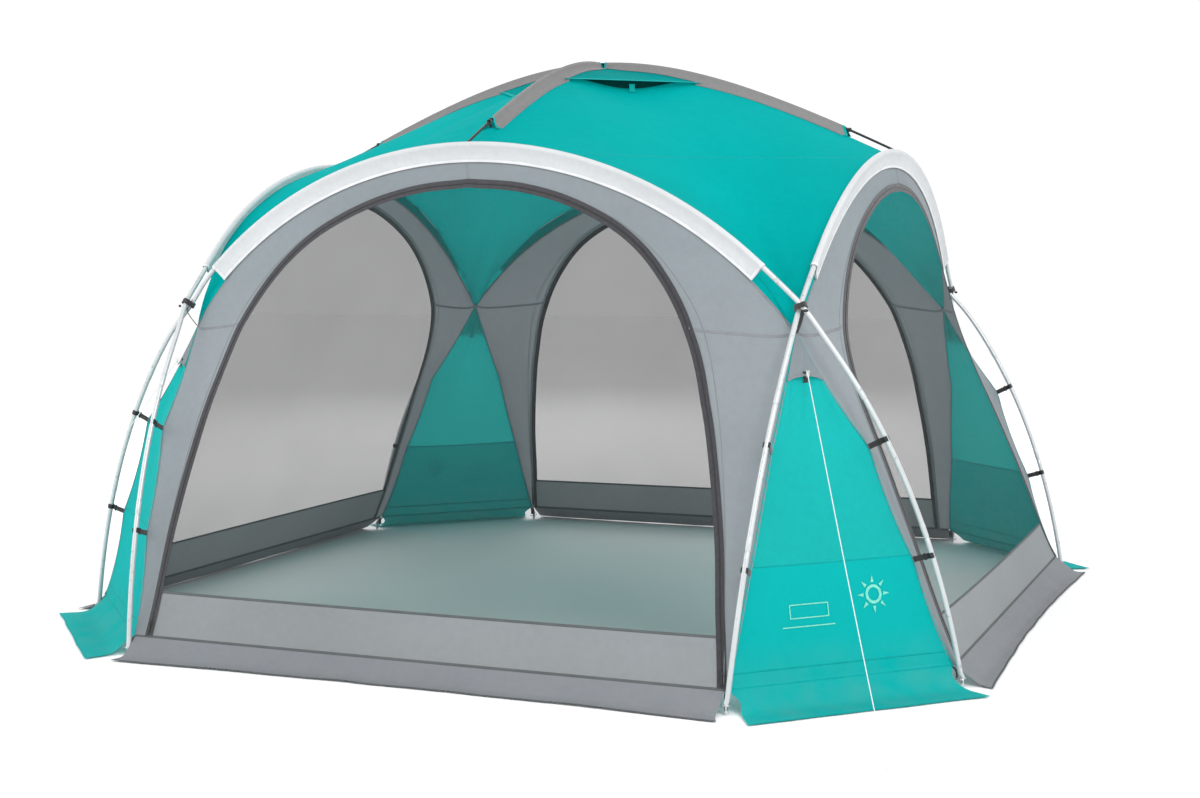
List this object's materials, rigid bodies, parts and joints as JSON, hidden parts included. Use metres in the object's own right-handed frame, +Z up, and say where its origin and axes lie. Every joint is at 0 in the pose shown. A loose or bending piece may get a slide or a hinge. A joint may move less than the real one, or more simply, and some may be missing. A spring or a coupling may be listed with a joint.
{
  "type": "screen house",
  "caption": "Square domed screen house on arched steel poles, with four screened walls, solid corner panels, drop-down doors and guylines.",
  "frame": {"origin": "on the ground under the centre of the roof", "axes": "+Z up, -Y the front wall with its drop-down door, +X to the right of someone who faces the front wall"},
  "size_m": [3.8806, 4.2314, 2.3255],
  "materials": {
    "teal_fabric": "coated polyester, satin",
    "grey_fabric": "coated polyester, satin",
    "white_fabric": "coated polyester, satin",
    "sill_fabric": "coated polyester, matt",
    "sleeve_fabric": "coated polyester, matt",
    "screen_mesh": "fine knitted insect mesh",
    "pole_steel": "pale grey powder coat",
    "roof_pole_black": "wrapped glass fibre, satin",
    "black_webbing": "woven webbing",
    "black_plastic": "moulded, satin",
    "guyline_cord": "braided cord"
  },
  "bodies": {
    "shelter": {"arch_band_back": "grey_fabric", "arch_band_front": "grey_fabric", "arch_band_left": "grey_fabric", "arch_band_right": "grey_fabric", "arch_sleeve_back": "white_fabric", "arch_sleeve_front": "white_fabric", "arch_sleeve_left": "white_fabric", "arch_sleeve_right": "white_fabric", "back_arch_crown": "pole_steel", "back_arch_leg_left": "pole_steel", "back_arch_leg_right": "pole_steel", "corner_cap_back_left": "grey_fabric", "corner_cap_back_right": "grey_fabric", "corner_cap_front_left": "grey_fabric", "corner_cap_front_right": "grey_fabric", "corner_panel_back_left": "teal_fabric", "corner_panel_back_right": "teal_fabric", "corner_panel_front_left": "teal_fabric", "corner_panel_front_right": "teal_fabric", "front_arch_crown": "pole_steel", "front_arch_leg_left": "pole_steel", "front_arch_leg_right": "pole_steel", "ground_skirt_back": "sill_fabric", "ground_skirt_front": "sill_fabric", "guyline_front_left": "guyline_cord", "guyline_front_right": "guyline_cord", "left_arch_crown": "pole_steel", "left_arch_leg_left": "pole_steel", "left_arch_leg_right": "pole_steel", "pole_tie_back_left": "black_webbing", "pole_tie_back_right": "black_webbing", "pole_tie_front_left": "black_webbing", "pole_tie_front_right": "black_webbing", "right_arch_crown": "pole_steel", "right_arch_leg_left": "pole_steel", "right_arch_leg_right": "pole_steel", "roof_canopy": "teal_fabric", "roof_pole_front_to_back": "roof_pole_black", "roof_pole_side_to_side": "roof_pole_black", "roof_sleeve_back": "sleeve_fabric", "roof_sleeve_front": "sleeve_fabric", "roof_sleeve_left": "sleeve_fabric", "roof_sleeve_right": "sleeve_fabric", "roof_vent_cap": "teal_fabric", "screen_left": "screen_mesh", "screen_right": "screen_mesh", "wall_sill_left": "sill_fabric", "wall_sill_right": "sill_fabric"},
    "front_door": {"screen_front": "screen_mesh", "door_sill_front": "sill_fabric"},
    "back_door": {"screen_back": "screen_mesh", "door_sill_back": "sill_fabric"},
    "front_zip_left": {"zip_slider_front_left": "black_plastic"},
    "front_zip_right": {"zip_slider_front_right": "black_plastic"},
    "back_zip_left": {"zip_slider_back_left": "black_plastic"},
    "back_zip_right": {"zip_slider_back_right": "black_plastic"},
    "front_vent_stay": {"vent_prop_front": "teal_fabric"},
    "back_vent_stay": {"vent_prop_back": "teal_fabric"}
  },
  "joints": [
    {"name": "front_door_drop", "type": "hinge", "parent": "shelter", "child": "front_door", "pos_m": [0, -1.803, 0.072], "axis": [1, 0, 0], "range_deg": [0, 105]},
    {"name": "back_door_drop", "type": "hinge", "parent": "shelter", "child": "back_door", "pos_m": [0, 1.803, 0.072], "axis": [-1, 0, 0], "range_deg": [0, 105]},
    {"name": "front_zip_left_slide", "type": "slide", "parent": "front_door", "child": "front_zip_left", "axis": [0.023, 0.3641, 0.9311], "range_m": [0, 0.4]},
    {"name": "front_zip_right_slide", "type": "slide", "parent": "front_door", "child": "front_zip_right", "axis": [-0.1384, 0.3556, 0.9243], "range_m": [0, 0.4]},
    {"name": "back_zip_left_slide", "type": "slide", "parent": "back_door", "child": "back_zip_left", "axis": [-0.023, -0.3641, 0.9311], "range_m": [0, 0.4]},
    {"name": "back_zip_right_slide", "type": "slide", "parent": "back_door", "child": "back_zip_right", "axis": [0.1384, -0.3556, 0.9243], "range_m": [0, 0.4]},
    {"name": "front_vent_fold", "type": "hinge", "parent": "shelter", "child": "front_vent_stay", "pos_m": [0.24152, -0.24152, 2.17229], "axis": [0.7071, 0.7071, 0], "range_deg": [0, 80]},
    {"name": "back_vent_fold", "type": "hinge", "parent": "shelter", "child": "back_vent_stay", "pos_m": [-0.24152, 0.24152, 2.17229], "axis": [-0.7071, -0.7071, 0], "range_deg": [0, 80]}
  ]
}
